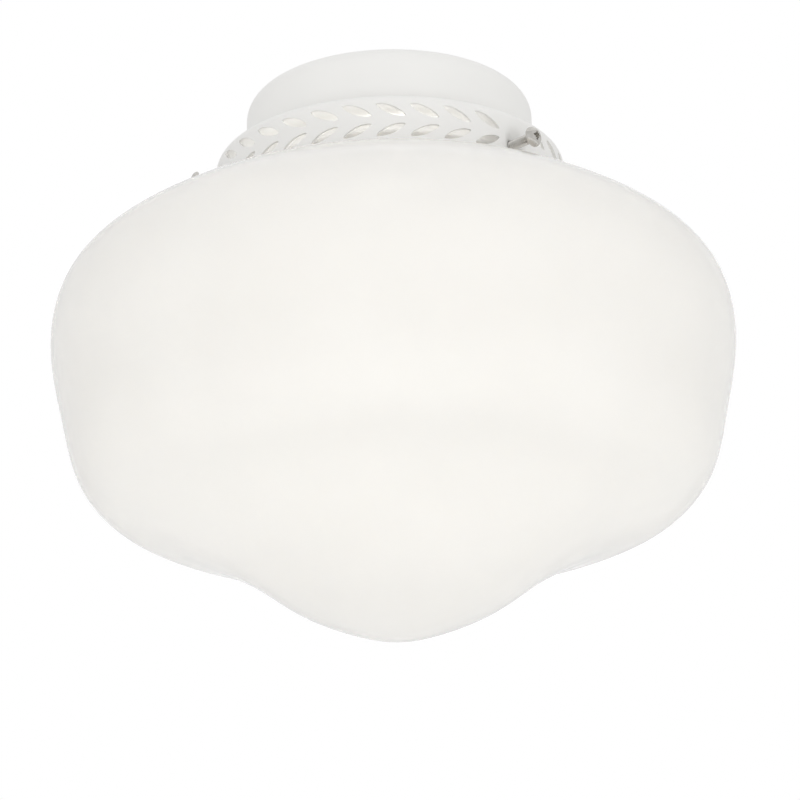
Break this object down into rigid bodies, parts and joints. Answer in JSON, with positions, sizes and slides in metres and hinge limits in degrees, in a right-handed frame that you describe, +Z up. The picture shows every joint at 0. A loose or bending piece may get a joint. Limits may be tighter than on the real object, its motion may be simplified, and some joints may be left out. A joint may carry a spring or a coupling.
{
  "type": "ceiling fan light kit",
  "caption": "Light kit that hangs under a ceiling fan: white pan, vented globe holder with radial globe screws, opal schoolhouse globe, lampholder and lamp.",
  "frame": {"origin": "centre of the pan's top face, where the kit seats against the fan, on the stem's axis", "axes": "+Z up towards the fan, along the stem; -Y towards the picture's viewer; +X to the viewer's right"},
  "size_m": [0.2286, 0.2286, 0.2039],
  "materials": {
    "white_paint": "smooth semi-gloss white enamel on steel",
    "opal_glass": "glossy opal white, blown",
    "nickel": "bright nickel plate",
    "zinc": "zinc plated steel",
    "brass": "drawn, bright",
    "porcelain": "glossy white glaze",
    "aluminium": "drawn, bright",
    "black_glass": "moulded, glossy",
    "frosted_glass": "soft white inside coat",
    "black_plastic": "moulded, satin",
    "white_plastic": "moulded, satin",
    "grey_plastic": "moulded, satin"
  },
  "bodies": {
    "kit": {"fitter_pan": "white_paint", "fitter_skirt": "white_paint", "fitter_bolt_left": "zinc", "fitter_bolt_right": "zinc", "lampholder_bolt_left": "zinc", "lampholder_bolt_right": "zinc", "inlet_stem": "zinc", "fan_lock_washer": "zinc", "fan_hex_nut": "zinc", "pan_lock_washer": "zinc", "pan_hex_nut": "zinc", "crossbar": "zinc", "wire_bushing": "grey_plastic", "lampholder_body": "porcelain", "screw_shell": "brass", "centre_contact": "brass", "line_rivet": "brass", "neutral_rivet": "brass", "white_lead": "white_plastic", "black_lead": "black_plastic", "white_connector": "white_plastic", "black_connector": "black_plastic"},
    "globe": {"glass_globe": "opal_glass"},
    "screw_right": {"globe_screw_right": "nickel"},
    "screw_back": {"globe_screw_back": "nickel"},
    "screw_left": {"globe_screw_left": "nickel"},
    "lamp": {"lamp_envelope": "frosted_glass", "lamp_cap": "aluminium", "lamp_insulator": "black_glass", "lamp_contact": "zinc"}
  },
  "joints": [
    {"name": "globe_turn", "type": "hinge", "parent": "kit", "child": "globe", "pos_m": [0, 0, -0.09], "axis": [0, 0, 1], "continuous": true},
    {"name": "screw_right_run", "type": "slide", "parent": "kit", "child": "screw_right", "axis": [-0.6997, 0.7145, 0], "range_m": [-0.0055, 0.0012]},
    {"name": "screw_back_run", "type": "slide", "parent": "kit", "child": "screw_back", "axis": [-0.2689, -0.9632, 0], "range_m": [-0.0055, 0.0012]},
    {"name": "screw_left_run", "type": "slide", "parent": "kit", "child": "screw_left", "axis": [0.9686, 0.2487, 0], "range_m": [-0.0055, 0.0012]},
    {"name": "lamp_withdraw", "type": "slide", "parent": "kit", "child": "lamp", "axis": [0, 0, -1], "range_m": [0, 0.025]}
  ]
}
